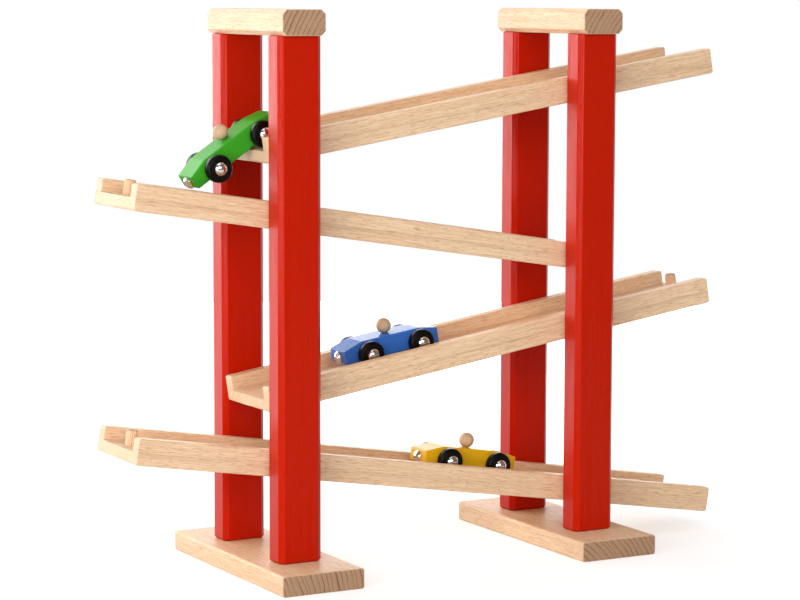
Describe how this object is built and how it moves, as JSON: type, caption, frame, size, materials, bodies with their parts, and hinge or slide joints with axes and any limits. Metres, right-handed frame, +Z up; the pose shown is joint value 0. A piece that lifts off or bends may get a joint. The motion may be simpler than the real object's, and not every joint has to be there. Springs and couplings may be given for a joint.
{
  "type": "click clack track toy",
  "caption": "Wooden zig-zag car run: grooved beech tracks sloping between red towers, with stop pins, and small painted cars that roll down and tip from track to track",
  "frame": {"origin": "on the floor under the feet, midway between the two towers", "axes": "+X to the right along the tracks, +Y to the back, +Z up; the front, with the viewer, is at -Y"},
  "size_m": [0.4752, 0.18, 0.3981],
  "materials": {
    "beech": "sanded beech, clear matt lacquer",
    "red_paint": "satin red paint on wood",
    "green_paint": "gloss green paint on wood",
    "blue_paint": "gloss blue paint on wood",
    "yellow_paint": "gloss yellow paint on wood",
    "black_wheel": "satin black",
    "bright_metal": "bright nickel",
    "steel": "plain steel"
  },
  "bodies": {
    "frame": {"left_foot": "beech", "right_foot": "beech", "left_front_post": "red_paint", "left_rear_post": "red_paint", "right_front_post": "red_paint", "right_rear_post": "red_paint", "left_cap": "beech", "right_cap": "beech", "top_track": "beech", "second_track": "beech", "third_track": "beech", "bottom_track": "beech", "second_track_stop": "beech", "third_track_stop": "beech", "bottom_track_stop": "beech", "track_dowels": "beech", "cap_dowels": "beech", "foot_screws": "steel"},
    "green_car": {"green_car_body": "green_paint", "green_car_driver": "beech", "green_car_nose_stud": "bright_metal", "green_car_front_axle": "steel", "green_car_rear_axle": "steel", "green_car_hub_caps": "bright_metal"},
    "green_car_front_left_wheel": {"green_car_front_left_wheel": "black_wheel"},
    "green_car_front_right_wheel": {"green_car_front_right_wheel": "black_wheel"},
    "green_car_rear_left_wheel": {"green_car_rear_left_wheel": "black_wheel"},
    "green_car_rear_right_wheel": {"green_car_rear_right_wheel": "black_wheel"},
    "blue_car": {"blue_car_body": "blue_paint", "blue_car_driver": "beech", "blue_car_nose_stud": "bright_metal", "blue_car_front_axle": "steel", "blue_car_rear_axle": "steel", "blue_car_hub_caps": "bright_metal"},
    "blue_car_front_left_wheel": {"blue_car_front_left_wheel": "black_wheel"},
    "blue_car_front_right_wheel": {"blue_car_front_right_wheel": "black_wheel"},
    "blue_car_rear_left_wheel": {"blue_car_rear_left_wheel": "black_wheel"},
    "blue_car_rear_right_wheel": {"blue_car_rear_right_wheel": "black_wheel"},
    "yellow_car": {"yellow_car_body": "yellow_paint", "yellow_car_driver": "beech", "yellow_car_nose_stud": "bright_metal", "yellow_car_front_axle": "steel", "yellow_car_rear_axle": "steel", "yellow_car_hub_caps": "bright_metal"},
    "yellow_car_front_left_wheel": {"yellow_car_front_left_wheel": "black_wheel"},
    "yellow_car_front_right_wheel": {"yellow_car_front_right_wheel": "black_wheel"},
    "yellow_car_rear_left_wheel": {"yellow_car_rear_left_wheel": "black_wheel"},
    "yellow_car_rear_right_wheel": {"yellow_car_rear_right_wheel": "black_wheel"}
  },
  "joints": [
    {"name": "green_car_tip", "type": "hinge", "parent": "frame", "child": "green_car", "pos_m": [-0.13032, 0, 0.31165], "axis": [0, -1, 0], "range_deg": [-25, 6]},
    {"name": "green_car_front_left_spin", "type": "hinge", "parent": "green_car", "child": "green_car_front_left_wheel", "pos_m": [-0.16473, -0.016, 0.28844], "axis": [0, 1, 0], "continuous": true},
    {"name": "green_car_front_right_spin", "type": "hinge", "parent": "green_car", "child": "green_car_front_right_wheel", "pos_m": [-0.16473, 0.016, 0.28844], "axis": [0, 1, 0], "continuous": true},
    {"name": "green_car_rear_left_spin", "type": "hinge", "parent": "green_car", "child": "green_car_rear_left_wheel", "pos_m": [-0.13032, -0.016, 0.31165], "axis": [0, 1, 0], "continuous": true},
    {"name": "green_car_rear_right_spin", "type": "hinge", "parent": "green_car", "child": "green_car_rear_right_wheel", "pos_m": [-0.13032, 0.016, 0.31165], "axis": [0, 1, 0], "continuous": true},
    {"name": "blue_car_roll", "type": "slide", "parent": "frame", "child": "blue_car", "axis": [-0.9877, 0, -0.1564], "range_m": [-0.209, 0.091]},
    {"name": "blue_car_front_left_spin", "type": "hinge", "parent": "blue_car", "child": "blue_car_front_left_wheel", "pos_m": [-0.04489, -0.016, 0.15148], "axis": [0, 1, 0], "continuous": true},
    {"name": "blue_car_front_right_spin", "type": "hinge", "parent": "blue_car", "child": "blue_car_front_right_wheel", "pos_m": [-0.04489, 0.016, 0.15148], "axis": [0, 1, 0], "continuous": true},
    {"name": "blue_car_rear_left_spin", "type": "hinge", "parent": "blue_car", "child": "blue_car_rear_left_wheel", "pos_m": [-0.0039, -0.016, 0.15797], "axis": [0, 1, 0], "continuous": true},
    {"name": "blue_car_rear_right_spin", "type": "hinge", "parent": "blue_car", "child": "blue_car_rear_right_wheel", "pos_m": [-0.0039, 0.016, 0.15797], "axis": [0, 1, 0], "continuous": true},
    {"name": "yellow_car_roll", "type": "slide", "parent": "frame", "child": "yellow_car", "axis": [0.9877, 0, -0.1564], "range_m": [-0.2215, 0.178]},
    {"name": "yellow_car_front_left_spin", "type": "hinge", "parent": "yellow_car", "child": "yellow_car_front_left_wheel", "pos_m": [0.02069, -0.016, 0.06846], "axis": [0, 1, 0], "continuous": true},
    {"name": "yellow_car_front_right_spin", "type": "hinge", "parent": "yellow_car", "child": "yellow_car_front_right_wheel", "pos_m": [0.02069, 0.016, 0.06846], "axis": [0, 1, 0], "continuous": true},
    {"name": "yellow_car_rear_left_spin", "type": "hinge", "parent": "yellow_car", "child": "yellow_car_rear_left_wheel", "pos_m": [0.06168, -0.016, 0.06197], "axis": [0, 1, 0], "continuous": true},
    {"name": "yellow_car_rear_right_spin", "type": "hinge", "parent": "yellow_car", "child": "yellow_car_rear_right_wheel", "pos_m": [0.06168, 0.016, 0.06197], "axis": [0, 1, 0], "continuous": true}
  ],
  "couplings": [
    {"joint": "blue_car_front_left_spin", "follows": "blue_car_roll", "rad_per_m": -102.56},
    {"joint": "blue_car_front_right_spin", "follows": "blue_car_roll", "rad_per_m": -102.56},
    {"joint": "blue_car_rear_left_spin", "follows": "blue_car_roll", "rad_per_m": -102.56},
    {"joint": "blue_car_rear_right_spin", "follows": "blue_car_roll", "rad_per_m": -102.56},
    {"joint": "yellow_car_front_left_spin", "follows": "yellow_car_roll", "rad_per_m": 102.56},
    {"joint": "yellow_car_front_right_spin", "follows": "yellow_car_roll", "rad_per_m": 102.56},
    {"joint": "yellow_car_rear_left_spin", "follows": "yellow_car_roll", "rad_per_m": 102.56},
    {"joint": "yellow_car_rear_right_spin", "follows": "yellow_car_roll", "rad_per_m": 102.56}
  ]
}
